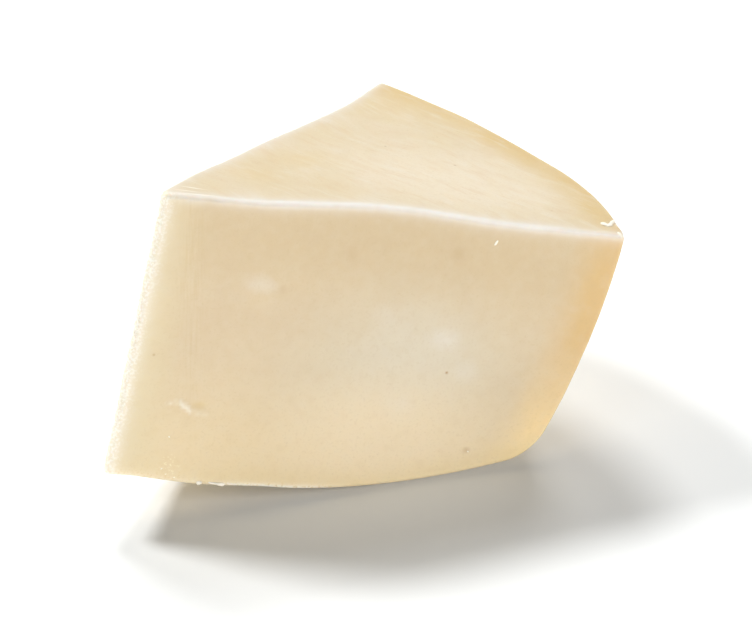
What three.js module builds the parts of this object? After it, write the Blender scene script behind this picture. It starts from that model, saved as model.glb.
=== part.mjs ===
// A wedge of aged goat cheese: an eighth of a small round wheel that was also cut flat across its height.
// It has two upright knife cuts, a flat cut on top, a blunt thin tip, the wheel's rim at the wide end and the
// wheel's rounded side underneath. It rests tipped back on that rounded side, with its tip in the air.
// Shape formulas use the wheel's frame: the z axis is the wheel's axis, x runs along the front cut from the tip
// to the rim, y goes into the piece, and z is 0 at the middle of the rounded side. Millimetres and degrees.
import * as THREE from "three";

const { cos, sin, sqrt, exp, abs, max, min, hypot, atan2, PI } = Math;
const RADIANS = PI / 180;

// The wheel and the three cuts.
const WHEEL_RADIUS = 103.6; // at the level of the flat cut, where the wheel is widest
const CUT_HEIGHT = 66;
const SECTOR_ANGLE = 46.6 * RADIANS;
const CUT_MISS = 0.7; // each upright cut passes this far outside the wheel's axis
const TIP_DEPTH = 0.4; // from the wheel's axis to the blunt end of the tip
const EDGE_ROUNDING = 1.2;

// The rounded side of the wheel, which the piece rests on.
const FLAT_RADIUS = 39; // the middle of that side is flat out to here
const UNDERSIDE_RISE = 14.5; // how far it has come up at RISE_RADIUS
const RISE_RADIUS = 100;
const UNDERSIDE_POWER = 1.8;
const RIM_DRAW_IN = 10.8; // how far the rim has come in at DRAW_DEPTH below the flat cut
const DRAW_DEPTH = 60;
const RIM_POWER = 1.9;
const RIM_CORNER = 5;

// The unevenness of cuts made by hand and of a wheel that isn't quite round.
const FRONT_HOLLOW = { depth: 1.5, at: 50, reach: 33, fade: 22 };
const TOP_SWELL = { height: 1.0, at: 50, reach: 33, fade: 18 };
const REAR_WAVES = [
  { height: 0.5, at: 18, reach: 18 },
  { height: -0.85, at: 76, reach: 32 },
  { height: 1.0, at: 106, reach: 26 },
];
const RIM_WAVES = [
  { height: 1.8, at: 13 * RADIANS, reach: 15 * RADIANS },
  { height: -0.8, at: SECTOR_ANGLE, reach: 14 * RADIANS },
];
const FOOT_WAVES = [
  { height: 0.45, at: 24, reach: 13 },
  { height: -0.5, at: 4, reach: 10 },
];
const FOOT_FADE = 15;

// A small torn gouge in the front cut, with a lip below it, and two flakes broken out of the rim's top edge.
const GOUGE = { x: 17.6, z: 18.9, length: 3.2, width: 1.4, depth: 0.6 };
const GOUGE_LIP = { x: 15.4, z: 17.8, length: 5.0, width: 0.8, height: 0.35, slope: -0.25 };
const CHIPS = [
  { bearing: 2.9 * RADIANS, length: 2.6, width: 3.0, depth: 0.45 },
  { bearing: 0.2 * RADIANS, length: 1.3, width: 1.6, depth: 0.35 },
];

// How the piece rests: tipped over by REST_TILT towards REST_BEARING, on a small flat spot.
const REST_TILT = 14.8 * RADIANS;
const REST_BEARING = 20 * RADIANS;
const FLAT_SPOT_DEPTH = 0.45;
const FLAT_SPOT_EDGE = 0.2;

// The spacing of the surface grid: fine at edges and at the gouge, coarse between them.
const FINE_STEP = 0.5;
const GOUGE_STEP = 1.0;
const COARSE_STEP = 6.5;
const STEP_GROWTH = 0.5;
const UNDERSIDE_RINGS = 10;
const TOP_RINGS = [0.988, 0.97, 0.93, 0.84, 0.68, 0.48, 0.26];
const TIP_PLACES = [1, 0.5]; // across the blunt tip, as shares of the sector's angle
const POLE_RADIUS = 62;
const POLE = [POLE_RADIUS * cos(SECTOR_ANGLE / 2), POLE_RADIUS * sin(SECTOR_ANGLE / 2)]; // in plan
const START_MARGIN = 1; // the grid starts this far outside the surface and settles onto it
const SETTLE_STEPS = 10;
const TINY = 0.001;

// A smooth bump that is 1 at the middle and 0 from a distance of 1 outwards.
function bump(t) {
  return abs(t) < 1 ? cos((PI / 2) * t) ** 2 : 0;
}

// The sum of a list of waves at a place along the surface.
function waves(list, place) {
  return list.reduce((sum, { height, at, reach }) => sum + height * bump((place - at) / reach), 0);
}

// The largest of several distances, with the edge where they meet rounded to a radius.
function roundedMax(distances, radius) {
  const largest = max(...distances);
  if (largest + radius <= 0) return largest;
  const squares = distances.map((d) => max(d + radius, 0) ** 2);
  return sqrt(squares.reduce((a, b) => a + b)) - radius;
}

// Height of the rounded side at a distance from the axis, and the rim's radius at a height.
function undersideHeight(radius) {
  const outwards = max(radius - FLAT_RADIUS, 0) / (RISE_RADIUS - FLAT_RADIUS);
  return UNDERSIDE_RISE * outwards ** UNDERSIDE_POWER;
}
function rimRadius(z) {
  return WHEEL_RADIUS - RIM_DRAW_IN * (max(CUT_HEIGHT - z, 0) / DRAW_DEPTH) ** RIM_POWER;
}

// The slope of a function of one number, by a small central difference.
function slopeOf(f, at) {
  return (f(at + TINY) - f(at - TINY)) / (2 * TINY);
}

// How far the front cut is hollowed, the top cut raised and the foot of the front cut lowered, at a point.
function frontHollow(x, z) {
  const { depth, at, reach, fade } = FRONT_HOLLOW;
  return depth * bump((x - at) / reach) * exp(-max(CUT_HEIGHT - z, 0) / fade);
}
function topSwell(x, y) {
  const { height, at, reach, fade } = TOP_SWELL;
  return height * bump((x - at) / reach) * exp(-max(y, 0) / fade);
}
function footDrop(x, y) {
  return waves(FOOT_WAVES, x) * exp(-max(y, 0) / FOOT_FADE);
}

// Signed distance to the outer skin of the whole wheel: its rounded side joined to its rim.
function wheelSkin([x, y, z]) {
  const radius = hypot(x, y);
  const swell = waves(RIM_WAVES, atan2(y, x));
  const foot = undersideHeight(radius) - footDrop(x, y);
  const below = (foot - z) / hypot(1, slopeOf(undersideHeight, radius));
  const outside = (radius - rimRadius(z) - swell) / hypot(1, slopeOf(rimRadius, z));
  return roundedMax([below, outside], RIM_CORNER);
}

// Signed distance to the wedge, less its flat spot: negative inside, 0 on the surface.
function wedge(point) {
  const [x, y, z] = point;
  const along = x * cos(SECTOR_ANGLE) + y * sin(SECTOR_ANGLE);
  const front = -y - CUT_MISS + frontHollow(x, z);
  const beyond = y * cos(SECTOR_ANGLE) - x * sin(SECTOR_ANGLE);
  const rear = beyond - CUT_MISS - waves(REAR_WAVES, along);
  const tip = TIP_DEPTH - (x * cos(SECTOR_ANGLE / 2) + y * sin(SECTOR_ANGLE / 2));
  const top = z - CUT_HEIGHT - topSwell(x, y);
  return roundedMax([wheelSkin(point), front, rear, tip, top], EDGE_ROUNDING);
}

// The upright of the resting piece and its two level directions, all in the wheel's frame.
const up = new THREE.Vector3(
  -sin(REST_TILT) * cos(REST_BEARING),
  -sin(REST_TILT) * sin(REST_BEARING),
  cos(REST_TILT),
);
const ahead = new THREE.Vector3(1, 0, 0).addScaledVector(up, -up.x).normalize();
const inwards = new THREE.Vector3().crossVectors(up, ahead);
function toRest([x, y, z]) {
  const p = new THREE.Vector3(x, y, z);
  return [p.dot(ahead), p.dot(inwards), p.dot(up)];
}

// The direction in which a distance grows at a point, scaled so that one step lands on its surface.
function gradient(distance, point) {
  return [0, 1, 2].map((axis) => {
    const moved = (by) => point.map((v, i) => (i === axis ? v + by : v));
    return (distance(moved(TINY)) - distance(moved(-TINY))) / (2 * TINY);
  });
}
function settle(distance, start) {
  let point = start;
  for (let i = 0; i < SETTLE_STEPS; i++) {
    const slope = gradient(distance, point);
    const size = slope.reduce((sum, v) => sum + v * v, 0);
    const step = distance(point) / max(size, TINY);
    point = point.map((v, axis) => v - step * slope[axis]);
  }
  return point;
}

// Places along a length, from 0 up to it: the step is fine at each focus and grows away from it.
function stations(length, focuses) {
  const stepAt = (s) =>
    min(
      COARSE_STEP,
      ...focuses.map(({ from, to, step }) => step + STEP_GROWTH * max(from - s, s - to, 0)),
    );
  const raw = [0];
  while (raw.at(-1) < length) raw.push(raw.at(-1) + stepAt(raw.at(-1)));
  return raw.map((s) => (s * length) / raw.at(-1));
}
const edgeFocus = (s) => ({ from: s - EDGE_ROUNDING, to: s + EDGE_ROUNDING, step: FINE_STEP });

// The outline in plan as a closed loop, with the rim at a given radius: front cut, rim, rear cut, tip.
// Each place is a share of the way from the tip to the rim and a bearing; a cut's places keep its bearing.
function outline() {
  const tipRadius = TIP_DEPTH / cos(SECTOR_ANGLE / 2);
  const cutLength = WHEEL_RADIUS - tipRadius;
  const rimLength = WHEEL_RADIUS * SECTOR_ANGLE;
  const gouge = { from: GOUGE.x - GOUGE.length, to: GOUGE.x + GOUGE.length, step: GOUGE_STEP };
  const front = stations(cutLength, [edgeFocus(0), gouge, edgeFocus(cutLength)]);
  const rear = stations(cutLength, [edgeFocus(0), edgeFocus(cutLength)]);
  const rim = stations(rimLength, [edgeFocus(0), edgeFocus(rimLength)]);
  return [
    ...front.slice(0, -1).map((s) => ({ share: s / cutLength, bearing: 0 })),
    ...rim.slice(0, -1).map((s) => ({ share: 1, bearing: (s / rimLength) * SECTOR_ANGLE })),
    ...rear
      .slice(1)
      .reverse()
      .map((s) => ({ share: s / cutLength, bearing: SECTOR_ANGLE })),
    ...TIP_PLACES.map((part) => ({ share: 0, bearing: SECTOR_ANGLE * part })),
  ];
}
function inPlan({ share, bearing }, rim) {
  const tipRadius = TIP_DEPTH / cos(bearing - SECTOR_ANGLE / 2);
  const radius = tipRadius + share * (rim + waves(RIM_WAVES, bearing) - tipRadius);
  const across = bearing / SECTOR_ANGLE;
  const x = radius * cos(bearing) - CUT_MISS * sin(SECTOR_ANGLE) * across;
  const y = radius * sin(bearing) - CUT_MISS * (1 - across) + CUT_MISS * cos(SECTOR_ANGLE) * across;
  const fromPole = hypot(x - POLE[0], y - POLE[1]);
  return towardsPole([x, y], 1 + START_MARGIN / fromPole);
}
function towardsPole([x, y], share) {
  return [POLE[0] + (x - POLE[0]) * share, POLE[1] + (y - POLE[1]) * share];
}

// Rings of points from the middle of the underside, out and up the walls, and in to the middle of the top.
function rings() {
  const loop = outline();
  const footAt = (x, y) => undersideHeight(hypot(x, y)) - START_MARGIN;
  const roofAt = (x, y) => CUT_HEIGHT + topSwell(x, y) + START_MARGIN;
  const cornerRadius = rimRadius(undersideHeight(RISE_RADIUS)) - EDGE_ROUNDING;
  const cornerHeight = undersideHeight(cornerRadius);
  const made = [];
  const bottom = loop.map((place) => inPlan(place, cornerRadius));
  for (let i = 1; i < UNDERSIDE_RINGS; i++) {
    const share = sin(((i / UNDERSIDE_RINGS) * PI) / 2);
    const ring = bottom.map((point) => towardsPole(point, share));
    made.push(ring.map(([x, y]) => [x, y, footAt(x, y)]));
  }
  const wallHeight = CUT_HEIGHT - cornerHeight;
  const gougeRise = GOUGE.z - cornerHeight;
  const gouge = { from: gougeRise - 2 * GOUGE.width, to: gougeRise + GOUGE.width, step: GOUGE_STEP };
  for (const rise of stations(wallHeight, [edgeFocus(0), gouge, edgeFocus(wallHeight)])) {
    const rim = max(rimRadius(cornerHeight + rise), cornerRadius);
    const ring = loop.map((place, i) => {
      const [x, y] = inPlan(place, rim);
      const foot = footAt(...bottom[i]);
      return [x, y, foot + ((roofAt(x, y) - foot) * rise) / wallHeight];
    });
    made.push(ring);
  }
  const roofRing = made.at(-1);
  for (const share of TOP_RINGS) {
    const ring = roofRing.map(([x, y]) => towardsPole([x, y], share));
    made.push(ring.map(([x, y]) => [x, y, roofAt(x, y)]));
  }
  return made;
}

// How far the torn gouge, its lip and the broken flakes move the surface: outwards is positive.
function relief([x, y, z]) {
  const fromFront = abs(y + CUT_MISS);
  const gouge = bump((x - GOUGE.x) / GOUGE.length) * bump((z - GOUGE.z) / GOUGE.width);
  const lipHeight = z - GOUGE_LIP.z - GOUGE_LIP.slope * (x - GOUGE_LIP.x);
  const lip = bump((x - GOUGE_LIP.x) / GOUGE_LIP.length) * bump(lipHeight / GOUGE_LIP.width);
  const onFront = bump(fromFront / EDGE_ROUNDING);
  const torn = onFront * (GOUGE_LIP.height * lip - GOUGE.depth * gouge);
  const broken = CHIPS.map(({ bearing, length, width, depth }) => {
    const around = WHEEL_RADIUS * (atan2(y, x) - bearing);
    const fromEdge = hypot(WHEEL_RADIUS - hypot(x, y), CUT_HEIGHT - z);
    return depth * bump(around / length) * bump(fromEdge / width);
  });
  return torn - broken.reduce((a, b) => a + b);
}

// The closed surface: rings of points joined into triangles, with one point at the middle of each cap.
function wedgeGeometry() {
  const made = rings();
  const poles = [undersideHeight(hypot(...POLE)), CUT_HEIGHT].map((z) => [...POLE, z]);
  const rested = [...made.flat(), ...poles].map((point) => settle(wedge, point));
  const level = min(...rested.map((point) => toRest(point)[2])) + FLAT_SPOT_DEPTH;
  const withFlatSpot = (point) =>
    roundedMax([wedge(point), level - toRest(point)[2]], FLAT_SPOT_EDGE);
  const points = rested.map((start) => {
    const point = settle(withFlatSpot, start);
    const slope = gradient(withFlatSpot, point);
    const moved = relief(point) / hypot(...slope);
    const [x, y, z] = toRest(point.map((v, axis) => v + moved * slope[axis]));
    return [x, y, abs(z - level) < 2 * TINY ? 0 : z - level];
  });

  const around = made[0].length;
  const [underneath, above] = [points.length - 2, points.length - 1];
  const triangles = [];
  for (let j = 0; j < around; j++) {
    const next = (j + 1) % around;
    triangles.push(underneath, next, j);
    for (let i = 0; i + 1 < made.length; i++) {
      const [a, b] = [i * around + j, i * around + next];
      triangles.push(a, b, b + around, a, b + around, a + around);
    }
    const last = (made.length - 1) * around;
    triangles.push(above, last + j, last + next);
  }

  const [middleX, middleY] = [0, 1].map((axis) => {
    const values = points.map((point) => point[axis]);
    return (max(...values) + min(...values)) / 2;
  });
  const centred = points.flatMap(([x, y, z]) => [x - middleX, y - middleY, z]);
  const geometry = new THREE.BufferGeometry();
  geometry.setAttribute("position", new THREE.Float32BufferAttribute(centred, 3));
  geometry.setIndex(triangles);
  geometry.computeVertexNormals();
  return geometry;
}

// The cheese itself: a warm cream paste with a satin, slightly waxy surface.
const paste = new THREE.MeshStandardMaterial({ color: 0xe6d6b4, roughness: 0.5, metalness: 0 });
const cheeseWedge = new THREE.Mesh(wedgeGeometry(), paste);
cheeseWedge.name = "cheese_wedge";

const agedGoatCheese = new THREE.Group();
agedGoatCheese.add(cheeseWedge);

export default agedGoatCheese;
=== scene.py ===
"""The looks of a wedge of aged goat cheese, resting tipped back on its rounded side.

The wedge is built again as a fine surface from the same wheel and cuts as its solid, with the relief that
shows in the paste: a torn gouge, flakes broken from the rim's edge, a rough tip and small pits. Crumbs and
shreds lie on it. Shape formulas use the wheel's frame in millimetres: the z axis is the wheel's axis, x
runs along the front cut from the tip to the rim, y goes into the piece, and z is 0 at the middle of the
rounded side.
"""
import bpy
import math
import numpy as np
from mathutils import Matrix, Vector


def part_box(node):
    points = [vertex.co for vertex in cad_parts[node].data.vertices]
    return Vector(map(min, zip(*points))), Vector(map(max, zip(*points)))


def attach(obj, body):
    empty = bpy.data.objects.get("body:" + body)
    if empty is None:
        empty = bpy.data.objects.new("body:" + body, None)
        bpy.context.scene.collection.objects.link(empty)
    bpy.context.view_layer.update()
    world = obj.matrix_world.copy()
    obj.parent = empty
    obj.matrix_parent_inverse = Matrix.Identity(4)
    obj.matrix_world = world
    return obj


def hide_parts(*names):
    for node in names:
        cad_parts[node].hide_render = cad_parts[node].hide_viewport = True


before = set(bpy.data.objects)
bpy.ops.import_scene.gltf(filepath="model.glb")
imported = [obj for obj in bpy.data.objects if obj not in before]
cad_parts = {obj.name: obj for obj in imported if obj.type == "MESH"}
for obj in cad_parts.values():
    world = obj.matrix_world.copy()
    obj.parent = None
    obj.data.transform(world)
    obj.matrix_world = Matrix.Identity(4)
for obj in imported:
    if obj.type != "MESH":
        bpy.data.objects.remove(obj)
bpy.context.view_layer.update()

MM = 0.001

# The wheel and the cuts: the front and rear ones miss the wheel's axis by a little, and the tip is blunt.
WHEEL_RADIUS = 103.6
CUT_HEIGHT = 66
SECTOR_ANGLE = math.radians(46.6)
HALF = SECTOR_ANGLE / 2
CUT_MISS = 0.7
TIP_DEPTH = 0.4
EDGE_ROUNDING = 1.2

# The rounded side and the rim.
FLAT_RADIUS = 39
UNDERSIDE_RISE = 14.5
RISE_RADIUS = 100
UNDERSIDE_POWER = 1.8
RIM_DRAW_IN = 10.8
DRAW_DEPTH = 60
RIM_POWER = 1.9
RIM_CORNER = 5

# The waves of hand-made cuts and of a wheel that isn't quite round: height, place and reach of each.
FRONT_HOLLOW = (1.5, 50, 33)
FRONT_FADE = 22
TOP_SWELL = (1.0, 50, 33)
TOP_FADE = 18
REAR_WAVES = [(0.5, 18, 18), (-0.85, 76, 32), (1.0, 106, 26)]
RIM_WAVES = [(1.8, math.radians(13), math.radians(15)), (-0.8, SECTOR_ANGLE, math.radians(14))]
FOOT_WAVES = [(0.45, 24, 13), (-0.5, 4, 10)]
FOOT_FADE = 15

# How the piece rests.
REST_TILT = math.radians(14.8)
REST_BEARING = math.radians(20)
FLAT_SPOT_DEPTH = 0.45
FLAT_SPOT_EDGE = 0.2

# The grid of the fine surface: its steps at the edges, over the torn gouge and elsewhere, and how fast they
# grow between. The fine stretch over the gouge has a middle (x, z) and a reach each way.
EDGE_STEP = 0.24
TORN_STEP = 0.24
FRONT_STEP = 0.5
RIM_STEP = 1.0
REAR_STEP = 1.3
WALL_STEP = 0.55
STEP_GROWTH = 0.12
TORN_MIDDLE = (16.2, 17.7)
TORN_REACH = (5, 2)

# The grid's columns over the tip, and its rings over both caps, which shrink towards a pole. The grid starts
# one margin outside the surface and settles onto it in steps.
TIP_COLUMNS = 9
UNDERSIDE_RINGS = 26
TOP_RINGS = 32
POLE_RADIUS = 62
POLE = (POLE_RADIUS * math.cos(HALF), POLE_RADIUS * math.sin(HALF))
START_MARGIN = 1
SETTLE_STEPS = 9

# A small length: slopes are measured over it, and what is under twice its height is on the floor.
TINY = 0.001

# The torn gouge in the front cut: a ragged ridge through these places (x, z), with a hollow above its end.
# The shares of the way along it say where it grows tall and where it turns faint.
RIDGE_PLACES = [(10.7, 18.6), (13.3, 18.9), (16.1, 16.9), (19.8, 16.5)]
RIDGE_WIDTH = 0.85
RIDGE_HEIGHT = 0.45
RIDGE_TALL = (0.28, 0.4)
RIDGE_FAINT = (0.58, 0.72)
HOLLOW = {"x": 17.7, "z": 18.4, "length": 2.7, "width": 1.5, "depth": 0.45}

# Flakes broken out of the rim's top edge: bearing, length round the rim, width across it and depth. The last
# value is how torn they look, where the gouge's ridge is 1.
CHIPS = [(math.radians(2.9), 2.6, 3.0, 0.1), (math.radians(0.2), 1.3, 1.6, 0.25)]
CHIP_STEP = 0.3
CHIP_TORN = 0.45

# How far in from the front, rear, tip and top cuts the pale band of their worn edges reaches, which is dried
# paste with a painted highlight on it, and the share of that reach, next to the edge, that is at full
# strength.
WORN_AND_HIGHLIGHT_REACH = (1.4, 1.0, 0.8, 0.8)
WORN_AND_HIGHLIGHT_CORE = 0.6

# The blunt tip: how far in its look reaches, how high its roughness is, and where that fades out.
TIP_REACH = 1.2
TIP_ROUGHNESS = 0.1
TIP_FADE = (0.6, 2.2)

# The bottom edge of the front cut: along x it is soft from the tip to the first pair of places, and frayed
# from the second pair to the third. Then come how strong the soft part is, how far up each reaches, and how
# far up the fraying is whole.
SOFT_END = (18, 28)
FRAYED_START = (22, 28)
FRAYED_END = (44, 56)
SOFT_STRENGTH = 0.45
SOFT_REACH = 1.2
FRAYED_REACH = 0.4
FRAYED_CORE = 0.6

# Where the looks of the top cut, the rim, the rounded side and the wheel's skin come in: two distances
# outside each, for none and for all. The last pair is heights above the floor, for the unevenness of the cuts
# and the tip's roughness.
TOP_RANGE = (-0.5, 0)
RIM_RANGE = (-13, -2)
UNDER_RANGE = (-7, -0.5)
RIND_RANGE = (-0.5, -0.1)
UNEVEN_RANGE = (0.5, 6)

# Small pits and dents in the front cut: place (x, z), reach along x and z, and depth.
DENTS = [
    (79.3, 12.5, 1.4, 0.9, 0.35),
    (72.6, 20.4, 3.2, 0.7, 0.14),
    (76.4, 19.2, 2.6, 0.6, 0.12),
    (70.8, 30.4, 0.7, 0.7, 0.3),
    (29.0, 46.3, 1.0, 0.8, 0.15),
]


def bump(t):
    """A smooth bump: the squared cosine of t quarter turns, which is 1 at 0 and 0 from 1 outwards."""
    return np.cos(np.pi / 2 * np.clip(t, -1, 1)) ** 2


def fade(value, start, end):
    """A smooth ramp from 0 at the start to 1 at the end."""
    t = np.clip((value - start) / (end - start), 0, 1)
    return t * t * (3 - 2 * t)


def waves(listed, place):
    """The sum of a list of bumps, each with its height, place and reach."""
    return sum(height * bump((place - at) / reach) for height, at, reach in listed)


def rounded_max(distances, radius):
    """The largest of several distances, with the edge where they meet rounded: the root of the sum of their
    squares, each counted from one radius inside, less the radius."""
    distances = np.stack(distances)
    largest = distances.max(axis=0)
    squares = (np.maximum(distances + radius, 0) ** 2).sum(axis=0)
    return np.where(largest + radius <= 0, largest, np.sqrt(squares) - radius)


def slope_of(formula, at):
    """The slope of a formula of one number, by a small central difference."""
    return (formula(at + TINY) - formula(at - TINY)) / (2 * TINY)


def underside_height(radius):
    """Height of the rounded side: a power of the distance outside its flat middle."""
    outwards = np.maximum(radius - FLAT_RADIUS, 0) / (RISE_RADIUS - FLAT_RADIUS)
    return UNDERSIDE_RISE * outwards**UNDERSIDE_POWER


def rim_radius(z):
    """Radius of the rim: drawn in by a power of the depth below the flat cut."""
    return WHEEL_RADIUS - RIM_DRAW_IN * (np.maximum(CUT_HEIGHT - z, 0) / DRAW_DEPTH) ** RIM_POWER


def underside_distance(x, y, z):
    """Distance below the wheel's rounded side, which is a little wavy along the foot of the front cut."""
    radius = np.hypot(x, y)
    foot = underside_height(radius) - waves(FOOT_WAVES, x) * np.exp(-np.maximum(y, 0) / FOOT_FADE)
    return (foot - z) / np.hypot(1, slope_of(underside_height, radius))


def rim_distance(x, y, z):
    """Distance outside the wheel's rim."""
    swell = waves(RIM_WAVES, np.arctan2(y, x))
    return (np.hypot(x, y) - rim_radius(z) - swell) / np.hypot(1, slope_of(rim_radius, z))


def wheel_skin(x, y, z):
    """Distance outside the whole wheel: its rounded side and its rim, joined with a wide corner."""
    return rounded_max([underside_distance(x, y, z), rim_distance(x, y, z)], RIM_CORNER)


def top_swell(x, y):
    """How far the top cut is raised along the front cut."""
    return waves([TOP_SWELL], x) * np.exp(-np.maximum(y, 0) / TOP_FADE)


def cut_distances(x, y, z):
    """Distances outside the front, rear, tip and top cuts, each flat but for its waves."""
    hollow = waves([FRONT_HOLLOW], x) * np.exp(-np.maximum(CUT_HEIGHT - z, 0) / FRONT_FADE)
    front = -y - CUT_MISS + hollow
    along = x * math.cos(SECTOR_ANGLE) + y * math.sin(SECTOR_ANGLE)
    beyond = y * math.cos(SECTOR_ANGLE) - x * math.sin(SECTOR_ANGLE)
    rear = beyond - CUT_MISS - waves(REAR_WAVES, along)
    tip = TIP_DEPTH - (x * math.cos(HALF) + y * math.sin(HALF))
    top = z - CUT_HEIGHT - top_swell(x, y)
    return front, rear, tip, top


def wedge(points):
    """Distance outside the wedge: the rounded largest of the wheel's skin and the cuts."""
    x, y, z = points.T
    return rounded_max([wheel_skin(x, y, z), *cut_distances(x, y, z)], EDGE_ROUNDING)


def rest_axes():
    """The level direction ahead, the level direction inwards and the upright of the resting piece, as rows in
    the wheel's frame: the upright leans by the tilt away from the bearing, and ahead is x made level."""
    lean = math.sin(REST_TILT)
    up = np.array([-lean * math.cos(REST_BEARING), -lean * math.sin(REST_BEARING), math.cos(REST_TILT)])
    ahead = np.array([1.0, 0, 0]) - up[0] * up
    ahead /= np.linalg.norm(ahead)
    return np.stack([ahead, np.cross(up, ahead), up])


TO_REST = rest_axes()
UP = TO_REST[2]


def gradient(distance, points):
    """The direction in which a distance grows, by small central differences along the three axes."""
    moves = TINY * np.eye(3)
    slopes = [(distance(points + move) - distance(points - move)) / (2 * TINY) for move in moves]
    return np.stack(slopes, axis=-1)


def settle(distance, points):
    """Moves points onto a surface: steps along the gradient, each as long as the distance over its slope."""
    for _ in range(SETTLE_STEPS):
        slope = gradient(distance, points)
        size = np.maximum((slope**2).sum(axis=1), TINY)
        points = points - (distance(points) / size)[:, None] * slope
    return points


def spaced(length, focuses, coarse):
    """Places from 0 to a length: the step is fine at each focus and grows away from it. The steps are laid
    out by adding up one over the step and reading that sum off at whole numbers."""
    s = np.linspace(0, length, 4001)
    step = np.full_like(s, coarse)
    for at, reach, fine in focuses:
        step = np.minimum(step, fine + STEP_GROWTH * np.maximum(np.abs(s - at) - reach, 0))
    passed = np.concatenate([[0], np.cumsum(np.diff(s) / step[1:])])
    count = math.ceil(passed[-1])
    return np.interp(np.linspace(0, passed[-1], count + 1), passed, s)


def edge_focus(at):
    """The grid is fine over a rounded edge."""
    return (at, EDGE_ROUNDING, EDGE_STEP)


def outline():
    """The outline in plan, once round: the share of the way from the tip to the rim, and the bearing."""
    cut_length = WHEEL_RADIUS - TIP_DEPTH / math.cos(HALF)
    rim_length = WHEEL_RADIUS * SECTOR_ANGLE
    ends = [edge_focus(0), edge_focus(cut_length)]
    torn = (TORN_MIDDLE[0], TORN_REACH[0], TORN_STEP)
    flakes = [(WHEEL_RADIUS * bearing, length, CHIP_STEP) for bearing, length, _, _ in CHIPS]
    front = spaced(cut_length, [*ends, torn], FRONT_STEP)[:-1] / cut_length
    rim = spaced(rim_length, [edge_focus(0), *flakes, edge_focus(rim_length)], RIM_STEP)[:-1] / rim_length
    rear = spaced(cut_length, ends, REAR_STEP)[:0:-1] / cut_length
    tip = np.linspace(1, 0, TIP_COLUMNS + 1)[:-1]
    share = np.concatenate([front, np.ones_like(rim), rear, np.zeros_like(tip)])
    turn = np.concatenate([np.zeros_like(front), rim, np.ones_like(rear), tip])
    return share, turn * SECTOR_ANGLE


def towards_pole(x, y, share):
    """Points moved along the lines to the pole: share 0 is at the pole, and share 1 is where they were."""
    return POLE[0] + (x - POLE[0]) * share, POLE[1] + (y - POLE[1]) * share


def in_plan(share, bearing, rim):
    """The outline's points for a rim of a given radius, one margin outside the surface."""
    tip_radius = TIP_DEPTH / np.cos(bearing - HALF)
    radius = tip_radius + share * (rim + waves(RIM_WAVES, bearing) - tip_radius)
    across = bearing / SECTOR_ANGLE
    x = radius * np.cos(bearing) - CUT_MISS * math.sin(SECTOR_ANGLE) * across
    y = radius * np.sin(bearing) - CUT_MISS * (1 - across) + CUT_MISS * math.cos(SECTOR_ANGLE) * across
    from_pole = np.hypot(x - POLE[0], y - POLE[1])
    return towards_pole(x, y, 1 + START_MARGIN / from_pole)


def start_grid():
    """Rings of points round the wedge, from the middle of its underside out, up its walls and in over its
    top. A wall point's height is its share of the way from the foot to the roof; on both caps the rings
    shrink towards the pole, by the sine of their share underneath and by a square root on top."""
    share, bearing = outline()
    corner_radius = rim_radius(underside_height(RISE_RADIUS)) - EDGE_ROUNDING
    corner_height = underside_height(corner_radius)

    def foot(x, y):
        return underside_height(np.hypot(x, y)) - START_MARGIN

    def roof(x, y):
        return CUT_HEIGHT + top_swell(x, y) + START_MARGIN

    bottom = in_plan(share, bearing, corner_radius)
    shrink = np.sin(np.pi / 2 * np.arange(1, UNDERSIDE_RINGS) / UNDERSIDE_RINGS)[:, None]
    x, y = towards_pole(*[axis[None, :] for axis in bottom], shrink)
    underneath = np.stack([x, y, foot(x, y)], axis=-1)

    wall_height = CUT_HEIGHT - corner_height
    torn = (TORN_MIDDLE[1] - corner_height, TORN_REACH[1], TORN_STEP)
    rise = spaced(wall_height, [edge_focus(0), torn, edge_focus(wall_height)], WALL_STEP)[:, None]
    rim = np.maximum(rim_radius(corner_height + rise), corner_radius)
    x, y = in_plan(share[None, :], bearing[None, :], rim)
    low = foot(*bottom)[None, :]
    wall = np.stack([x, y, low + (roof(x, y) - low) * rise / wall_height], axis=-1)

    shrink = np.sqrt(np.linspace(1, 0, TOP_RINGS + 1)[1:-1])[:, None]
    x, y = towards_pole(x[-1][None, :], y[-1][None, :], shrink)
    above = np.stack([x, y, roof(x, y)], axis=-1)
    return np.concatenate([underneath, wall, above])


def capped_faces(rings, around, first=0):
    """Faces of a closed surface of rings: quads between neighbouring rings, and a fan to a pole at each end.
    The points are numbered from the first, ring by ring, with the two poles last."""
    index = first + np.arange(rings * around).reshape(rings, around)
    beside = np.roll(index, -1, axis=1)
    quads = np.stack([index[:-1], beside[:-1], beside[1:], index[1:]], axis=-1).reshape(-1, 4)
    low, high = first + rings * around, first + rings * around + 1
    start = np.stack([np.full(around, low), beside[0], index[0]], axis=-1)
    end = np.stack([np.full(around, high), index[-1], beside[-1]], axis=-1)
    return [*quads.tolist(), *start.tolist(), *end.tolist()]


def bent_line_distance(x, z, places):
    """Distance from the nearest point of a bent line, and the share of the way along it."""
    best = np.full(x.shape, np.inf)
    along = np.zeros(x.shape)
    for i, ((x0, z0), (x1, z1)) in enumerate(zip(places, places[1:])):
        length = math.hypot(x1 - x0, z1 - z0)
        t = np.clip(((x - x0) * (x1 - x0) + (z - z0) * (z1 - z0)) / length**2, 0, 1)
        distance = np.hypot(x - x0 - t * (x1 - x0), z - z0 - t * (z1 - z0))
        nearer = distance < best
        best = np.where(nearer, distance, best)
        along = np.where(nearer, (i + t) / (len(places) - 1), along)
    return best, along


def front_mask(y):
    """1 on the front cut, and 0 from twice the edge rounding inwards."""
    return bump((y + CUT_MISS) / (2 * EDGE_ROUNDING))


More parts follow.
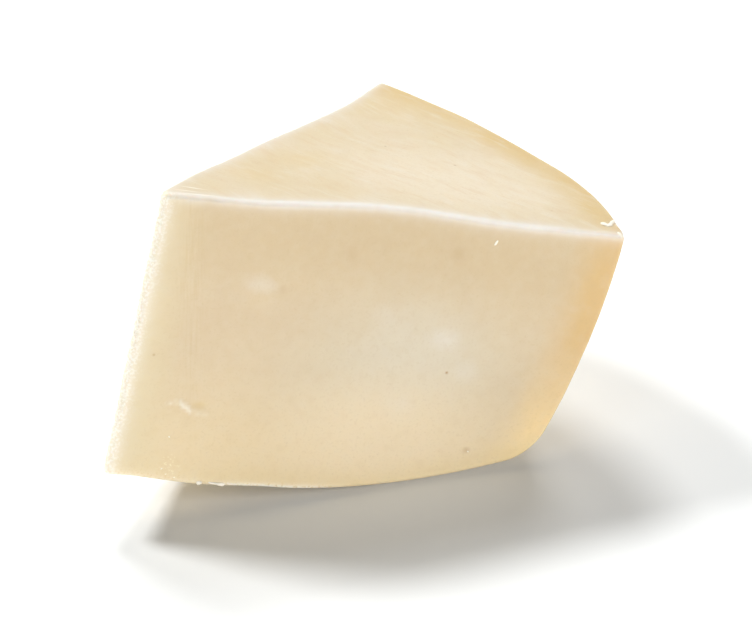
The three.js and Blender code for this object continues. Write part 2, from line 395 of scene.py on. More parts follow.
def gouge(x, y, z):
    """The gouge's ridge and hollow, as two masks. The ridge is a bump across its line, of low lumps at
    first, which are a squared sine, then tall and then faint. Two crossed sines make its border waver, less
    where it is tall. The hollow is a bump along x times a bump along z."""
    distance, along = bent_line_distance(x, z, RIDGE_PLACES)
    lumps = 0.15 + 0.45 * np.sin(2.3 * x + 1.4 * z) ** 2
    tall = lumps + (1 - lumps) * fade(along, *RIDGE_TALL) - 0.7 * fade(along, *RIDGE_FAINT)
    ragged = 0.25 * np.sin(3.7 * x - 1.2 * z) * np.sin(2.9 * z + 0.6)
    ridge = tall * bump((distance + ragged * (1 - 0.5 * tall)) / RIDGE_WIDTH)
    hollow = bump((x - HOLLOW["x"]) / HOLLOW["length"]) * bump((z - HOLLOW["z"]) / HOLLOW["width"])
    return front_mask(y) * ridge, front_mask(y) * hollow


def chips(x, y, z):
    """The broken flakes on the rim's top edge, as a mask and a depth: each is a bump round the rim times a
    bump of the distance from that edge."""
    from_edge = np.hypot(WHEEL_RADIUS - np.hypot(x, y), CUT_HEIGHT - z)
    mask = np.zeros(x.shape)
    depth = np.zeros(x.shape)
    for bearing, length, width, deep in CHIPS:
        around = WHEEL_RADIUS * (np.arctan2(y, x) - bearing)
        place = bump(around / length) * bump(from_edge / width)
        mask = np.maximum(mask, place)
        depth += deep * place
    return mask, depth


def dents(x, y, z):
    """Small pits and dents in the front cut, as a depth: a sum of bumps of the distance from each."""
    return front_mask(y) * sum(
        depth * bump(np.hypot((x - at_x) / reach_x, (z - at_z) / reach_z))
        for at_x, at_z, reach_x, reach_z, depth in DENTS
    )


def unevenness(x, y, z):
    """Slow unevenness of the cuts: a few crossed sine waves, 5 to 33 mm long and under 0.1 mm high."""
    slow = 0.05 * np.sin(0.21 * x + 0.13 * z + 1.0) * np.sin(0.17 * z - 0.09 * x + 0.4)
    slow += 0.025 * np.sin(0.45 * x - 0.2 * y + 0.3 * z)
    return slow + 0.012 * np.sin(0.9 * z + 0.4 * x + 0.7 * y)


def tip_roughness(x, y, z):
    """The blunt tip's torn surface, from -1 to 1: two crossed sines that fade out inwards."""
    near = 1 - fade(x * math.cos(HALF) + y * math.sin(HALF), *TIP_FADE)
    return near * np.sin(5.1 * z + 2 * np.sin(1.3 * z)) * np.sin(3.3 * y + 0.9 * z)


def surface_marks(x, y, z):
    """What the paste's look depends on, from 0 to 1: edges between two cuts, where the paste is pale and
    dried and a highlight is painted, the blunt tip, the top cut, the frayed bottom edge of the front cut,
    which is painted lighter as fill light, closeness to the rim and to the underside, and the wheel's own
    skin. The edge, tip and foot fall off as e to the power of minus the distance over a reach. The rest are
    fades."""
    cuts = cut_distances(x, y, z)
    front, _, tip, top = cuts
    nearest = np.sort(np.stack([cut / reach for cut, reach in zip(cuts, WORN_AND_HIGHLIGHT_REACH)]), axis=0)
    under = underside_distance(x, y, z)
    corner = np.minimum(front, 0) + np.minimum(under, 0)
    soft_foot = SOFT_STRENGTH * (1 - fade(x, *SOFT_END)) * np.exp(corner / SOFT_REACH)
    frayed = fade(x, *FRAYED_START) * (1 - fade(x, *FRAYED_END))
    frayed_foot = frayed * np.exp(np.minimum(corner + FRAYED_CORE, 0) / FRAYED_REACH)
    return {
        "edge": np.exp(np.minimum(nearest[-1] + nearest[-2] + WORN_AND_HIGHLIGHT_CORE, 0)),
        "tip": np.exp(np.minimum(tip, 0) / TIP_REACH),
        "top": fade(top, *TOP_RANGE),
        "foot": soft_foot + frayed_foot,
        "rim": fade(rim_distance(x, y, z), *RIM_RANGE),
        "under": fade(under, *UNDER_RANGE),
        "rind": fade(wheel_skin(x, y, z), *RIND_RANGE),
    }


def wedge_surface():
    """The wedge's points in the wheel's frame and its marks: the grid settled onto the formula, flattened
    where it rests, and moved along its own slope by the relief."""
    grid = start_grid()
    rings, around = grid.shape[:2]
    poles = [[*POLE, float(underside_height(np.hypot(*POLE)))], [*POLE, CUT_HEIGHT]]
    rested = settle(wedge, np.concatenate([grid.reshape(-1, 3), poles]))
    level = (rested @ UP).min() + FLAT_SPOT_DEPTH

    def with_flat_spot(points):
        return rounded_max([wedge(points), level - points @ UP], FLAT_SPOT_EDGE)

    points = settle(with_flat_spot, rested)
    slope = gradient(with_flat_spot, points)
    slope /= np.linalg.norm(slope, axis=1)[:, None]

    x, y, z = points.T
    ridge, hollow = gouge(x, y, z)
    broken, depth = chips(x, y, z)
    off_floor = fade(points @ UP - level, *UNEVEN_RANGE)
    relief = RIDGE_HEIGHT * ridge - HOLLOW["depth"] * hollow - depth - dents(x, y, z)
    relief += off_floor * (unevenness(x, y, z) + TIP_ROUGHNESS * tip_roughness(x, y, z))
    moved = points + relief[:, None] * slope
    height = moved @ UP - level
    moved += np.where(height < 2 * TINY, -height, 0)[:, None] * UP

    marks = surface_marks(x, y, z)
    marks["torn"] = np.maximum(ridge, CHIP_TORN * broken)
    marks["hollow"] = hollow
    return moved, marks, rings, around, level


def add_mesh(name, points, faces, marks):
    """Makes an object at the origin from points in metres, with each mark as an attribute of its points."""
    mesh = bpy.data.meshes.new(name)
    mesh.from_pydata(points.tolist(), [], faces)
    for mark, values in marks.items():
        layer = mesh.attributes.new(mark, "FLOAT", "POINT")
        layer.data.foreach_set("value", values.astype(np.float32))
    mesh.polygons.foreach_set("use_smooth", [True] * len(mesh.polygons))
    mesh.update()
    made = bpy.data.objects.new(name, mesh)
    bpy.context.scene.collection.objects.link(made)
    return made


class Placement:
    """Where the wheel's frame lies in the frame: at rest on the floor, centred as the CAD node is."""

    def __init__(self, points, level):
        rested = points @ TO_REST.T
        low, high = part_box("cheese_wedge")
        middle = (rested.max(axis=0) + rested.min(axis=0)) / 2
        self.shift = np.array([(low.x + high.x) / 2, (low.y + high.y) / 2, 0]) / MM - middle
        self.shift[2] = -level

    def to_frame(self, points):
        """Points of the wheel's frame in the frame's metres."""
        return (points @ TO_REST.T + self.shift) * MM


class Value:
    """A number or colour that varies over a surface. An operator on it adds a Math node."""

    def __init__(self, paint, socket):
        self.paint = paint
        self.socket = socket

    def __add__(self, other):
        return self.paint.math("ADD", self, other)

    __radd__ = __add__

    def __mul__(self, other):
        return self.paint.math("MULTIPLY", self, other)

    __rmul__ = __mul__

    def __sub__(self, other):
        return self.paint.math("SUBTRACT", self, other)

    def __rsub__(self, other):
        return self.paint.math("SUBTRACT", other, self)


class Paint:
    """A material and its nodes."""

    def __init__(self, name):
        self.material = bpy.data.materials.new(name)
        self.material.use_nodes = True
        self.tree = self.material.node_tree
        self.tree.nodes.clear()

    def node(self, kind, settings, sockets, output=0):
        """Adds a node: its settings first, then a value or a link for each socket. Returns one output."""
        made = self.tree.nodes.new(kind)
        for name, value in settings.items():
            setattr(made, name, value)
        for name, value in sockets.items():
            if isinstance(value, Value):
                self.tree.links.new(value.socket, made.inputs[name])
            else:
                made.inputs[name].default_value = value
        return Value(self, made.outputs[output]) if made.outputs else None

    def math(self, operation, a, b):
        return self.node("ShaderNodeMath", {"operation": operation}, {0: a, 1: b})

    def vector(self, operation, a, b, output="Vector"):
        return self.node("ShaderNodeVectorMath", {"operation": operation}, {0: a, 1: b}, output)

    def combine(self, x, y, z):
        return self.node("ShaderNodeCombineXYZ", {}, {0: x, 1: y, 2: z})

    def mark(self, name):
        """An attribute of the mesh."""
        return self.node("ShaderNodeAttribute", {"attribute_name": name}, {}, "Fac")

    def mix(self, factor, a, b):
        """One colour mixed into another."""
        return self.node("ShaderNodeMix", {"data_type": "RGBA"}, {0: factor, 6: a, 7: b}, 2)

    def ramp(self, value, low, high):
        """A smooth step from 0 at low to 1 at high."""
        sockets = {"Value": value, "From Min": low, "From Max": high}
        return self.node("ShaderNodeMapRange", {"interpolation_type": "SMOOTHSTEP"}, sockets)

    def noise(self, place, size, detail=2.0, stretch=(1, 1, 1)):
        """Soft noise from 0 to 1. Its features are as long as the size times the stretch along each axis."""
        squeezed = self.vector("MULTIPLY", place, [1 / (size * s) for s in stretch])
        sockets = {"Vector": squeezed, "Scale": 1.0, "Detail": detail}
        return self.node("ShaderNodeTexNoise", {}, sockets, "Fac")

    def patch(self, place, middle, reach, softness=1.0):
        """A soft round patch: 0 outside its reach along each axis, rising to 1 over the softness inwards."""
        away = self.vector("SUBTRACT", place, middle)
        scaled = self.vector("DIVIDE", away, reach)
        length = self.node("ShaderNodeVectorMath", {"operation": "LENGTH"}, {0: scaled}, "Value")
        return self.ramp(1 - length, 0.0, softness)


def wheel_place(paint, placement):
    """A surface point's place in the wheel's frame, in millimetres: its Object coordinates turned back."""
    point = paint.node("ShaderNodeTexCoord", {}, {}, "Object")
    moved = paint.vector("SUBTRACT", point, (placement.shift * MM).tolist())
    return [paint.vector("DOT_PRODUCT", moved, (axis / MM).tolist(), "Value") for axis in TO_REST.T]


# How strong the light is on the front and top cuts, the worn edges, the tip, the low part of the front and
# the crumbs, against a white floor in the photograph's light. Each colour code is as lit and is divided by
# one of these; the edges and the low front get low strengths, so their colour is painted lighter: a painted
# highlight on the edges and painted fill light low on the front.
FRONT_LIGHT = 1.34
TOP_LIGHT = 1.4
EDGE_LIGHT = 1.16
TIP_LIGHT = 1.12
LOW_LIGHT = 1.05
CRUMB_LIGHT = 1.15

# Blurred white patches and dark dots on the front cut, and dark dots on the top: place, reach and strength.
WHITE_PATCHES = [
    (24.6, 47.5, 4.2, 0.38),
    (27.4, 47.0, 3.0, 0.25),
    (68.6, 38.1, 5.0, 0.6),
    (54.1, 42.6, 4.5, 0.25),
    (74.8, 31.0, 4.5, 0.3),
    (62.0, 22.0, 6.0, 0.2),
]
DARK_PATCHES = [
    (70.8, 30.4, 0.55, 0.85),
    (5.5, 29.4, 0.5, 0.5),
    (67.5, 57.9, 3.0, 0.16),
    (30.2, 46.6, 1.6, 0.14),
    (79.3, 12.5, 1.2, 0.3),
    (44.0, 56.0, 3.0, 0.1),
]
TOP_DOTS = [
    (59.4, 36.4, 0.45, 0.55),
    (73.5, 29.5, 0.5, 0.55),
    (74.0, 45.0, 0.4, 0.35),
    (89.5, 9.0, 0.35, 0.3),
]

# Soft patches of colour: middle and reach along x, y and z. For the three named after the wall, x is the
# distance from the wheel's axis, and for the border of the drag lines it slants with them.
WALL_PALE = ((60, 0, 31), (40, 1, 28))
WALL_HEART = ((68, 0, 33), (18, 1, 16))
WALL_LOW_PAINTED_FILL = ((61, 0, 12), (34, 1, 24))
# The low patch of the wall is painted fill light: it makes the lower front lighter.
BELOW_DIAGONAL = ((57, 0, 36), (19, 1, 17))
DRAG_BORDER = ((19.5, 0, 52), (4.5, 1, 60))
TOP_PALE = ((70, 20, 0), (40, 27, 1))
TOP_ORANGE = [((36, 25, 0), (12, 7, 1)), ((24, 14, 0), (10, 6, 1)), ((66, 62, 0), (19, 15, 1))]
FOOT_SPECKS = ((13.8, 0, 3.6), (4.5, 3, 5.5))

# Lines pressed into the top beside the tip: middle (x, y), half length, half width and slope.
PRESS_LINES = [(7.7, 0.5, 7.5, 0.32, 0.0), (7.7, 3.75, 4.2, 0.4, -0.11), (6.0, 1.9, 4.0, 0.3, -0.06)]

# How the knife streaks on the top and the faint slanting border on the front are turned.
STREAK_TURN = math.radians(44)
STREAK_BEND = 14
DIAGONAL_TURN = math.radians(44)

# The sizes of the noises, in millimetres: slow drift, mottling, grains and fine grains, the bend of the knife
# streaks, fine and coarse streaks, the areas where fine ones show, drag lines, and the crumbs' mottling.
DRIFT_SIZE = 15
MOTTLE_SIZE = 2.4
GRAIN_SIZE = 0.6
FINE_SIZE = 0.3
BEND_SIZE = 26
FINE_STREAK_SIZE = 0.7
COARSE_STREAK_SIZE = 3.0
STREAK_AREA_SIZE = 9
DRAG_LINE_SIZE = 0.6
CRUMB_MOTTLE_SIZE = 0.5


def tone(code, light=FRONT_LIGHT):
    """The paste's own colour, from its six-figure code as lit and the strength of that light."""
    shares = [int(code[i:i + 2], 16) / 255 for i in (0, 2, 4)]
    linear = [s / 12.92 if s <= 0.04045 else ((s + 0.055) / 1.055) ** 2.4 for s in shares]
    return (*[value / light for value in linear], 1)


def front_spots(paint, colour, x, z, on_front):
    """What shows on the front cut alone: a pale yellow band by the thin tip, which is a painted glow of light
    shining through it, with drag lines at its border, a faint slanting border in the pale middle, blurred
    white patches and small dark dots."""
    place = paint.combine(x, 0.0, z)
    # Painted glow: the thin tip lets light through, and this is painted as a paler, yellower band along it.
    painted_tip_glow = paint.ramp(x + 0.06 * z, 16.0, 4.0)
    colour = paint.mix(painted_tip_glow * 0.9, colour, tone("EDDAB1"))
    drag = x + 0.2 * z
    lines = paint.noise(paint.combine(drag, 0.0, z), DRAG_LINE_SIZE, 2.0, (1, 1, 14))
    border = paint.patch(paint.combine(drag, 0.0, z), *DRAG_BORDER)
    colour = paint.mix(paint.ramp(lines, 0.45, 0.7) * border * 0.3, colour, tone("D9BC88"))
    colour = paint.mix(paint.ramp(lines, 0.5, 0.3) * border * 0.25, colour, tone("F0DDB8"))
    slant = z * math.cos(DIAGONAL_TURN) - x * math.sin(DIAGONAL_TURN)
    below = paint.ramp(slant, -7.7, -8.9) * paint.patch(place, *BELOW_DIAGONAL)
    colour = paint.mix(below * 0.35, colour, tone("ECE0CA"))
    for at_x, at_z, reach, strength in WHITE_PATCHES:
        white = paint.patch(place, (at_x, 0, at_z), (reach, 1, 0.8 * reach))
        colour = paint.mix(white * on_front * strength, colour, tone("F4EBDC"))
    for at_x, at_z, reach, strength in DARK_PATCHES:
        dark = paint.patch(place, (at_x, 0, at_z), (reach, 1, reach))
        colour = paint.mix(dark * on_front * strength, colour, tone("B88A50"))
    return colour


def wall_colour(paint, x, y, z, drift):
    """The upright cuts: a pale middle, painted shade below the top edge, painted fill light that makes the
    foot and a low patch lighter, a slightly yellower foot, and an orange rim that is painted lighter low
    down.
    """
    radius = paint.vector("LENGTH", paint.combine(x, y, 0.0), (0, 0, 0), "Value")
    place = paint.combine(radius, 0.0, z)
    on_front = paint.ramp(y, 6.0, 3.0)
    colour = paint.mix(drift, tone("E8D2AE"), tone("E4CDA9"))
    # Painted shade: darker and browner below the top edge, where less light reaches the front.
    colour = paint.mix(paint.ramp(z, 40.0, 58.0) * 0.9, colour, tone("E0C8A0"))
    # Painted fill light: lighter, and a little yellower, towards the foot, which the floor's shadow leaves
    # darker.
    colour = paint.mix(paint.ramp(z, 32.0, 4.0) * 0.9, colour, tone("F6DFB4"))
    colour = paint.mix(paint.patch(place, *WALL_PALE, 0.9) * 0.8, colour, tone("E6D8BC"))
    colour = paint.mix(paint.patch(place, *WALL_HEART) * 0.5, colour, tone("EBE0CA"))
    # Painted fill light: a low patch on the front is painted lighter.
    colour = paint.mix(paint.patch(place, *WALL_LOW_PAINTED_FILL, 0.8) * 0.8, colour, tone("E4D1B0", LOW_LIGHT))
    colour = front_spots(paint, colour, x, z, on_front)
    # The rim's orange is its own colour; low down it is painted lighter, as painted fill light.
    near_rim = paint.mix(paint.ramp(z, 42.0, 12.0), tone("E8C489"), tone("EDD29F", LOW_LIGHT))
    colour = paint.mix(paint.mark("rim") * (0.75 + 0.35 * drift), colour, near_rim)
    return paint.mix(paint.mark("under") * 0.5, colour, tone("F4DDA9"))


def top_colour(paint, x, y, drift, streaks):
    """The top cut: a pale middle, more orange towards the rim and the tip, with soft curved knife streaks."""
    place = paint.combine(x, y, 0.0)
    colour = paint.mix(drift, tone("EFDDB9", TOP_LIGHT), tone("F1E0C1", TOP_LIGHT))
    colour = paint.mix(paint.patch(place, *TOP_PALE, 0.9) * 0.85, colour, tone("FBEDD3", TOP_LIGHT))
    for middle, reach in TOP_ORANGE:
        colour = paint.mix(paint.patch(place, middle, reach) * 0.4, colour, tone("EED49F", TOP_LIGHT))
    colour = paint.mix(paint.mark("rim") * (0.75 + 0.4 * drift), colour, tone("EBCF97", TOP_LIGHT))
    colour = paint.mix(paint.ramp(streaks, 0.48, 0.75) * 0.3, colour, tone("E9CBA0", TOP_LIGHT))
    colour = paint.mix(paint.ramp(streaks, 0.48, 0.25) * 0.3, colour, tone("FAF2E2", TOP_LIGHT))
    for at_x, at_y, reach, strength in TOP_DOTS:
        dark = paint.patch(place, (at_x, at_y, 0), (reach, reach, 1))
        colour = paint.mix(dark * strength, colour, tone("B08C58", TOP_LIGHT))
    return colour


def knife_streaks(paint, x, y):
    """Soft streaks across the top: a fine and a coarse layer of long noise, bent, fading in places."""
    place = paint.combine(x, y, 0.0)
    bend = paint.noise(place, BEND_SIZE, 1.0)
    across = x * math.sin(STREAK_TURN) + y * math.cos(STREAK_TURN) + STREAK_BEND * bend
    along = x * math.cos(STREAK_TURN) - y * math.sin(STREAK_TURN)
    turned = paint.combine(along, across, 0.0)
    fine = paint.noise(turned, FINE_STREAK_SIZE, 2.0, (7, 1, 1))
    coarse = paint.noise(turned, COARSE_STREAK_SIZE, 2.5, (3, 1, 1))
    share = paint.ramp(paint.noise(place, STREAK_AREA_SIZE, 1.0), 0.4, 0.62)
    return coarse + share * (fine - 0.5) * 0.8


def pressed_lines(paint, x, y):
    """The lines pressed into the top by the tip."""
    total = 0.0
    for at_x, at_y, length, width, slope in PRESS_LINES:
        place = paint.combine(x, y - slope * x, 0.0)
        total = total + paint.patch(place, (at_x, at_y - slope * at_x, 0), (length, width, 1))
    return total


def mottled(paint, colour, mottle, grain):
    """Fine mottling: soft paler and browner spots, and small darker grains."""
    colour = paint.mix(paint.ramp(mottle, 0.4, 0.75) * 0.12, colour, tone("F2E6CC"))
    colour = paint.mix(paint.ramp(mottle, 0.5, 0.25) * 0.12, colour, tone("D9BD92"))
    return paint.mix(paint.ramp(grain, 0.5, 0.75) * 0.16, colour, tone("CDB084"))


def worn_edges_and_highlight(paint, colour, x, mottle, grain):
    """The pale edges, of dried paste with a painted highlight along them, weaker at both ends of the top
    edge, and the beaded blunt tip.
    """
    on_top = paint.mark("top")
    tip = paint.mark("tip")
    # Painted highlight: the edges' pale tone is partly dried paste and partly a highlight painted in, and on
    # the front side it is divided by the lower edge light, which paints it lighter still.
    worn_and_highlight = paint.mix(on_top, tone("F8F4EE", EDGE_LIGHT), tone("F8F4EC", TOP_LIGHT))
    beads = paint.ramp(grain, 0.56, 0.44) * tip
    smoother = paint.ramp(x, 82.0, 98.0) * on_top + paint.ramp(x, 26.0, 8.0) * 0.6
    strength = 0.8 + 0.35 * mottle - 0.6 * beads - 0.4 * smoother
    colour = paint.mix(paint.mark("edge") * strength, colour, worn_and_highlight)
    colour = paint.mix(tip * 0.7, colour, tone("F3EFE1", TIP_LIGHT))
    colour = paint.mix(paint.ramp(grain, 0.52, 0.62) * tip * 0.7, colour, tone("F9F6EC", TIP_LIGHT))
    return paint.mix(paint.ramp(grain, 0.46, 0.36) * tip * 0.4, colour, tone("E8DAB8", TIP_LIGHT))


def frayed_foot(paint, colour, place, grain):
    """The frayed bottom edge of the front cut, pale paste that is painted lighter still as fill light, since
    the foot faces down into shade, and the pale specks above it by the tip.
    """
    frayed = paint.mark("foot") * paint.ramp(grain, 0.3, 0.5)
    # Painted fill light: the foot's pale tone is divided by the low light strength, which makes it lighter.
    colour = paint.mix(frayed, colour, tone("FDF8EE", LOW_LIGHT))
    specks = paint.ramp(grain, 0.56, 0.68) * paint.patch(place, *FOOT_SPECKS)
    return paint.mix(specks * 0.8, colour, tone("FBEFCC", EDGE_LIGHT))


def paste_material(placement):
    """Cut cheese paste: cream, drier and more orange towards the rim, with pale dried edges that carry a
    painted highlight, fine mottling and knife streaks. Light is painted in too: a glow by the thin tip, shade
    below the front's top edge, fill light low on the front, shade in the gouge's hollow and highlights on its
    ridge, the flakes and the pressed lines. The wheel's outside is a little deeper in colour and duller."""
    paint = Paint("cheese_paste")
    x, y, z = wheel_place(paint, placement)
    place = paint.combine(x, y, z)
    drift = paint.ramp(paint.noise(place, DRIFT_SIZE, 2.0), 0.35, 0.65)
    mottle = paint.noise(place, MOTTLE_SIZE, 3.0)
    grain = paint.noise(place, GRAIN_SIZE, 2.0)
    fine = paint.noise(place, FINE_SIZE, 2.0)
    streaks = knife_streaks(paint, x, y)
    pressed = pressed_lines(paint, x, y)
    on_top = paint.mark("top")
    torn = paint.mark("torn")
    rind = paint.mark("rind")

    colour = paint.mix(on_top, wall_colour(paint, x, y, z, drift), top_colour(paint, x, y, drift, streaks))
    colour = paint.mix(rind * 0.5, colour, tone("E2C493"))
    colour = mottled(paint, colour, mottle, grain)
    # Painted shade in the gouge's hollow: it is painted darker, and yellower.
    colour = paint.mix(paint.mark("hollow") * 0.6, colour, tone("E8CE98"))
    colour = worn_edges_and_highlight(paint, colour, x, mottle, grain)
    colour = frayed_foot(paint, colour, place, grain)
    # Painted highlight: the ridges of the pressed lines are painted pale.
    colour = paint.mix(pressed * on_top * 0.7, colour, tone("FCF6E8", EDGE_LIGHT))
    # The torn paste is paler, and its whiteness is partly a painted highlight of the gouge's lit ridge and
    # the broken flakes.
    colour = paint.mix(torn * (0.5 + grain), colour, tone("FBF1DC"))

    height = 0.5 * grain + 0.3 * fine + 0.8 * mottle + 0.8 * streaks * on_top + 1.2 * pressed * on_top
    normal = paint.node("ShaderNodeBump", {}, {"Strength": 0.3, "Distance": 0.12 * MM, "Height": height})
    sockets = {
        "Base Color": colour,
        "Roughness": 0.42 + 0.12 * mottle + 0.2 * torn + 0.15 * rind,
        "Normal": normal,
        "Subsurface Weight": 0.25,
        "Subsurface Radius": (1.0, 0.7, 0.4),
        "Subsurface Scale": 3 * MM,
        "Coat Weight": 0.1,
        "Coat Roughness": 0.35,
        "IOR": 1.45,
    }
    shader = paint.node("ShaderNodeBsdfPrincipled", {"subsurface_method": "RANDOM_WALK"}, sockets)
    paint.node("ShaderNodeOutputMaterial", {}, {"Surface": shader})
    return paint.material


def crumb_material():
    """Torn crumbs of the paste: paler, rough and dry."""
    paint = Paint("torn_paste")
    place = paint.node("ShaderNodeTexCoord", {}, {}, "Object")
    mottle = paint.noise(place, CRUMB_MOTTLE_SIZE * MM, 2.0)
    colour = paint.mix(mottle, tone("FEF9EE", CRUMB_LIGHT), tone("F8EFD9", CRUMB_LIGHT))
    shader = paint.node("ShaderNodeBsdfPrincipled", {}, {"Base Color": colour, "Roughness": 0.65})
    paint.node("ShaderNodeOutputMaterial", {}, {"Surface": shader})
    return paint.material


def make_wedge():
    """The cheese wedge, in place of its plain solid. Returns its placement, for the crumbs."""
    points, marks, rings, around, level = wedge_surface()
    placement = Placement(points, level)
    made = add_mesh("cheese_wedge_paste", placement.to_frame(points), capped_faces(rings, around), marks)
    made.data.materials.append(paste_material(placement))
    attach(made, "root")
    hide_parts("cheese_wedge")
    return placement


# Shreds and flakes that lie on the paste: one end, the other end, width and thickness.
SHREDS = [
    ((20.7, -0.7, 0.2), (22.0, -0.7, 0.2), 1.0, 0.9),
    ((23.3, -0.8, 0.5), (25.4, -0.8, 0.2), 0.7, 0.6),
    ((25.0, -0.9, 0.1), (27.2, -0.9, 0.1), 0.85, 0.8),
    ((74.5, -0.7, 60.9), (75.1, -0.7, 62.2), 0.6, 0.4),
    ((99.4, 4.9, 66.0), (100.7, 3.4, 66.0), 1.4, 0.6),
    ((100.2, 3.2, 66.0), (101.9, 4.7, 66.0), 1.3, 0.7),
    ((101.4, 4.4, 66.0), (103.5, 7.1, 66.0), 1.1, 0.6),
    ((101.8, 0.5, 66.0), (102.7, -0.5, 65.4), 0.6, 0.4),
]
# Flecks on the front cut: place (x, z) and size.
FLECKS = [(12.4, 3.0, 0.45), (13.6, 1.8, 0.4), (15.6, 1.2, 0.5), (12.6, 10.6, 0.4), (79.8, 12.2, 0.4)]
# The most that a fleck tilts either way, and its length, width and thickness as shares of its size.
FLECK_TILT = 0.8
FLECK_SHARES = (1.2, 0.7, 0.45)

# The uneven ball that every crumb is: the seed of its draws, its rings and sides, and its waves' heights.
CRUMB_SEED = 5
CRUMB_RINGS = 6
CRUMB_SIDES = 9
CRUMB_WAVES = (0.22, 0.12)

# The many small crumbs on the blunt tip: their number, the ranges of their places and sizes, and their width
# and thickness as shares of their size.
TIP_CRUMB_COUNT = 110
TIP_CRUMB_ACROSS = (-1.1, 0.6)
TIP_CRUMB_HEIGHT = (1.5, 65.5)
TIP_CRUMB_SIZE = (0.2, 0.55)
TIP_CRUMB_SHARES = (0.8, 0.5)


def crumb_points(middle, axes, reach, draw):
    """One crumb: a ball with an uneven skin. Rings go from one end to the other. Their radius is the sine
    of the way, times 1 plus two small waves of drawn phase, and each axis has its own reach."""
    rise = np.pi * np.arange(1, CRUMB_RINGS + 1)[:, None] / (CRUMB_RINGS + 1)
    turn = 2 * np.pi * np.arange(CRUMB_SIDES)[None, :] / CRUMB_SIDES
    phase = draw.uniform(0, 2 * np.pi, 3)
    skin = 1 + CRUMB_WAVES[0] * np.sin(2 * turn + phase[0]) * np.sin(2 * rise + phase[1])
    skin = skin + CRUMB_WAVES[1] * np.sin(3 * turn + phase[2])
    ball = np.stack([
        -np.cos(rise) + 0 * turn,
        skin * np.sin(rise) * np.cos(turn),
        skin * np.sin(rise) * np.sin(turn),
    ], axis=-1).reshape(-1, 3)
    ball = np.concatenate([ball, [[-1, 0, 0], [1, 0, 0]]])
    return middle + (ball * reach) @ axes


def crumb_list(draw):
    """The crumbs' two ends, widths and thicknesses: the shreds, the flecks on the front cut, and many small
    ones on the blunt tip."""
    ends = [(a, b) for a, b, _, _ in SHREDS]
    sizes = [(width, thickness) for _, _, width, thickness in SHREDS]
    for x, z, size in FLECKS:
        tilt = draw.uniform(-FLECK_TILT, FLECK_TILT)
        length, width, thickness = [size * share for share in FLECK_SHARES]
        half = 0.5 * length * np.array([math.cos(tilt), 0, math.sin(tilt)])
        middle = np.array([x, -CUT_MISS, z])
        ends.append((middle - half, middle + half))
        sizes.append((width, thickness))
    for _ in range(TIP_CRUMB_COUNT):
        across = draw.uniform(*TIP_CRUMB_ACROSS)
        # The first coordinate only starts it near the tip, because make_crumbs settles it onto the surface.
        middle = np.array([0.6 + 0.4 * abs(across), across, draw.uniform(*TIP_CRUMB_HEIGHT)])
        size = draw.uniform(*TIP_CRUMB_SIZE)
        half = 0.5 * size * np.array([0, draw.uniform(-1, 1), 1])
        ends.append((middle - half, middle + half))
        sizes.append(tuple(size * share for share in TIP_CRUMB_SHARES))
    return np.array(ends), np.array(sizes)


def make_crumbs(placement):
    """Loose crumbs and frayed shreds of the same paste, with their middles settled onto the surface."""
    draw = np.random.default_rng(CRUMB_SEED)
    ends, sizes = crumb_list(draw)
    starts, stops = settle(wedge, ends[:, 0]), settle(wedge, ends[:, 1])
    middles = settle(wedge, (starts + stops) / 2)
    bodies = []
    for middle, start, stop, outwards, (width, thickness) in zip(
        middles, starts, stops, gradient(wedge, middles), sizes
    ):
        length = np.linalg.norm(stop - start)
        along = (stop - start) / length
        aside = np.cross(outwards, along)
        aside /= np.linalg.norm(aside)
        axes = np.stack([along, aside, np.cross(along, aside)])
        bodies.append(crumb_points(middle, axes, np.array([length, width, thickness]) / 2, draw))
    firsts = np.arange(len(bodies)) * len(bodies[0])
    faces = [face for first in firsts for face in capped_faces(CRUMB_RINGS, CRUMB_SIDES, first)]
    made = add_mesh("paste_crumbs", placement.to_frame(np.concatenate(bodies)), faces, {})
    made.data.materials.append(crumb_material())
    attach(made, "root")


# The floor: the share of light that it gives back, a little less of it red, and its reach each way in metres.
FLOOR_TONE = 0.9
FLOOR_COLOUR = (0.88, FLOOR_TONE, FLOOR_TONE, 1)
FLOOR_REACH = 3.0


def make_floor():
    """A plain pale floor: one square."""
    corners = FLOOR_REACH * np.array([(-1, -1, 0), (1, -1, 0), (1, 1, 0), (-1, 1, 0)])
    floor = add_mesh("floor", corners, [(0, 1, 2, 3)], {})
    paint = Paint("pale_floor")
    shader = paint.node("ShaderNodeBsdfPrincipled", {}, {"Base Color": FLOOR_COLOUR, "Roughness": 0.9})
    paint.node("ShaderNodeOutputMaterial", {}, {"Surface": shader})
    floor.data.materials.append(paint.material)


# The soft round lights: azimuth, elevation and reach in degrees, and how bright each alone makes the floor.
# Three main ones are behind the piece, and three weak low ones at its right, left and front.
LIGHTS = {
    "behind_left": (-60, 50, 7.5, 0.55),
    "behind": (-14, 55.5, 8.5, 0.38),
    "behind_right": (28, 53, 8.5, 0.19),
    "right_low": (109, 16, 11, 0.14),
    "left_low": (-135, 7, 10, 0.04),
    "front_low": (180, 7, 10, 0.04),
}
# Their distance in metres from the point that they face, and the strength of the dim surround.
LIGHT_DISTANCE = 1.6
LIGHT_AIM = Vector((0, 0, 0.03))
ROOM_LIGHT = 0.02


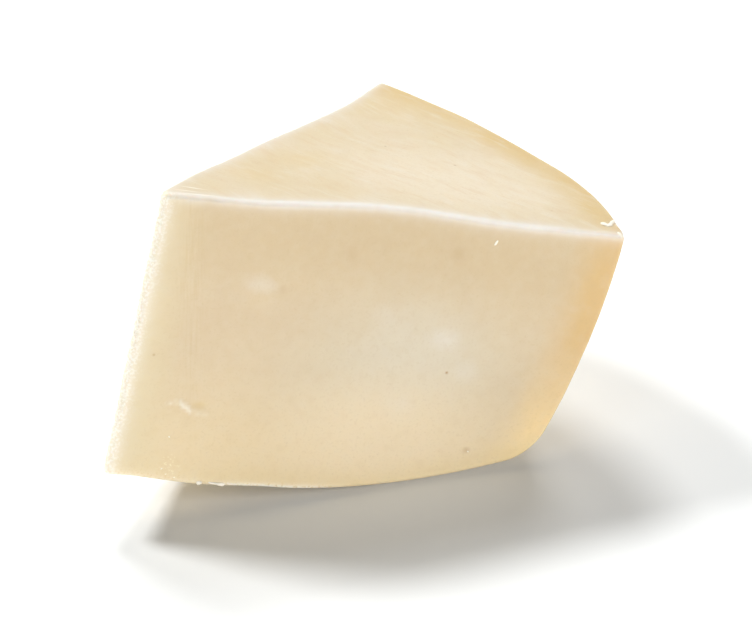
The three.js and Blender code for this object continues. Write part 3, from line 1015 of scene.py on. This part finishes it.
def make_light(name, azimuth, elevation, reach, share):
    """A soft round light that faces the piece. Azimuth 0 is straight behind it as the camera sees it, and the
    reach is the angle that its radius fills. Its energy grows with its distance squared and with one over the
    sine of its elevation, so that it alone makes the floor as bright as its share."""
    rise = math.radians(elevation)
    turn = math.radians(azimuth) - CAMERA_AZIMUTH
    lamp = bpy.data.lights.new(name, "AREA")
    lamp.shape = "DISK"
    lamp.size = 2 * LIGHT_DISTANCE * math.tan(math.radians(reach))
    lamp.energy = share * (math.pi * LIGHT_DISTANCE) ** 2 / (FLOOR_TONE * math.sin(rise))
    out = Vector((math.sin(turn) * math.cos(rise), math.cos(turn) * math.cos(rise), math.sin(rise)))
    made = bpy.data.objects.new(name, lamp)
    made.location = LIGHT_AIM + out * LIGHT_DISTANCE
    made.rotation_euler = out.to_track_quat("Z", "Y").to_euler()
    bpy.context.scene.collection.objects.link(made)


def make_lights():
    """The lights and a dim white surround."""
    for name, settings in LIGHTS.items():
        make_light(name, *settings)
    world = bpy.data.worlds.new("pale_room")
    world.use_nodes = True
    surround = world.node_tree.nodes["Background"]
    surround.inputs["Color"].default_value = (1, 1, 1, 1)
    surround.inputs["Strength"].default_value = ROOM_LIGHT
    bpy.context.scene.world = world
    bpy.context.scene.view_settings.view_transform = "Standard"


# The camera of the photograph, from fitting the wedge's outline: its angles, and its distance, offset and
# sensor in millimetres. The scale is that at the middle of the wedge's box.
IMAGE_WIDTH = 752
CAMERA_AZIMUTH = math.radians(-14.296)
CAMERA_ELEVATION = math.radians(31.922)
CAMERA_DISTANCE = 1000
PIXELS_PER_MM = 4.578
CAMERA_RIGHT = 11.243
CAMERA_DOWN = 15.657
SENSOR_WIDTH = 36


def make_camera():
    """The camera at the photograph's angle. It looks past the middle of the box, so nothing is shifted."""
    a, e = CAMERA_AZIMUTH, CAMERA_ELEVATION
    look = Vector((-math.sin(a) * math.cos(e), math.cos(a) * math.cos(e), -math.sin(e)))
    right = Vector((math.cos(a), math.sin(a), 0))
    down = look.cross(right)
    low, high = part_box("cheese_wedge")
    place = (low + high) / 2 + MM * (CAMERA_RIGHT * right + CAMERA_DOWN * down - CAMERA_DISTANCE * look)
    lens = bpy.data.cameras.new("camera")
    lens.sensor_width = SENSOR_WIDTH
    lens.lens = SENSOR_WIDTH * PIXELS_PER_MM * CAMERA_DISTANCE / IMAGE_WIDTH
    lens.clip_start = 0.05
    made = bpy.data.objects.new("camera", lens)
    axes = Matrix((right, -down, -look)).transposed()
    made.matrix_world = Matrix.Translation(place) @ axes.to_4x4()
    bpy.context.scene.collection.objects.link(made)
    bpy.context.scene.camera = made


make_camera()
make_crumbs(make_wedge())
make_floor()
make_lights()
